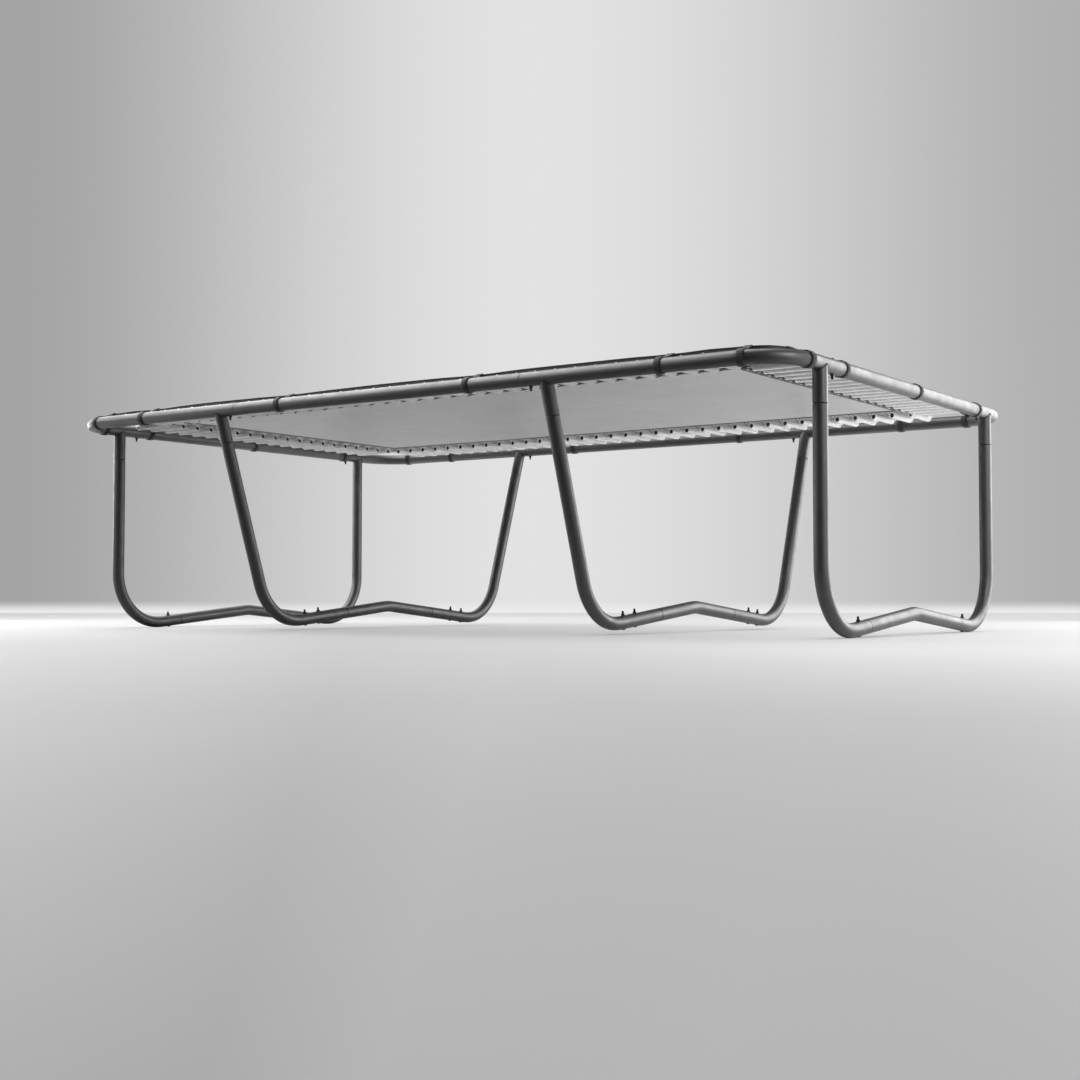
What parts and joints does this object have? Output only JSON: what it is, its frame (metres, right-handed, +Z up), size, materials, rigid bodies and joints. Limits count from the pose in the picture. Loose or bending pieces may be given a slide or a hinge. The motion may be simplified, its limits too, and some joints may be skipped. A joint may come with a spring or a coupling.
{
  "type": "trampoline",
  "caption": "Rectangular garden trampoline: bent steel tube legs and frame, rows of springs, woven jumping mat with a webbing edge, and a mitred spring pad.",
  "frame": {"origin": "on the ground, under the middle of the mat", "axes": "+X along the long side, +Y across the width, +Z up; the front is -Y"},
  "size_m": [4.1434, 2.551, 1.1235],
  "materials": {
    "Powder_Coat": "dark grey powder coat, satin",
    "Dark_Bolt": "blackened steel",
    "Woven_Mat": "plain woven polypropylene, light grey from below",
    "Webbing": "black sewn webbing with wire rings",
    "Pad_Cover": "black coated cloth over foam"
  },
  "bodies": {
    "frame": {"corner_tube_front_left": "Powder_Coat", "corner_tube_front_right": "Powder_Coat", "corner_tube_back_left": "Powder_Coat", "corner_tube_back_right": "Powder_Coat", "rail_front": "Powder_Coat", "rail_back": "Powder_Coat", "rail_left": "Powder_Coat", "rail_right": "Powder_Coat", "end_leg_front_left": "Powder_Coat", "end_leg_front_right": "Powder_Coat", "end_leg_back_left": "Powder_Coat", "end_leg_back_right": "Powder_Coat", "middle_leg_front_left": "Powder_Coat", "middle_leg_front_right": "Powder_Coat", "middle_leg_back_left": "Powder_Coat", "middle_leg_back_right": "Powder_Coat", "end_spreader_left": "Powder_Coat", "end_spreader_right": "Powder_Coat", "middle_spreader_left": "Powder_Coat", "middle_spreader_right": "Powder_Coat", "rail_bolt_front_left_1": "Dark_Bolt", "rail_bolt_front_left_2": "Dark_Bolt", "rail_bolt_front_right_1": "Dark_Bolt", "rail_bolt_front_right_2": "Dark_Bolt", "rail_bolt_back_left_1": "Dark_Bolt", "rail_bolt_back_left_2": "Dark_Bolt", "rail_bolt_back_right_1": "Dark_Bolt", "rail_bolt_back_right_2": "Dark_Bolt", "end_foot_bolt_front_left_1": "Dark_Bolt", "end_foot_bolt_front_right_1": "Dark_Bolt", "end_foot_bolt_back_left_1": "Dark_Bolt", "end_foot_bolt_back_right_1": "Dark_Bolt", "middle_foot_bolt_front_left_1": "Dark_Bolt", "middle_foot_bolt_front_left_2": "Dark_Bolt", "middle_foot_bolt_front_right_1": "Dark_Bolt", "middle_foot_bolt_front_right_2": "Dark_Bolt", "middle_foot_bolt_back_left_1": "Dark_Bolt", "middle_foot_bolt_back_left_2": "Dark_Bolt", "middle_foot_bolt_back_right_1": "Dark_Bolt", "middle_foot_bolt_back_right_2": "Dark_Bolt", "pad_front": "Pad_Cover", "pad_back": "Pad_Cover", "pad_left": "Pad_Cover", "pad_right": "Pad_Cover"},
    "mat": {"jumping_mat": "Woven_Mat", "mat_webbing": "Webbing"}
  },
  "joints": [
    {"name": "mat_bounce", "type": "slide", "parent": "frame", "child": "mat", "axis": [0, 0, 1], "range_m": [-0.45, 0], "stiffness_N_per_m": 4500, "springref_m": 0.02}
  ]
}
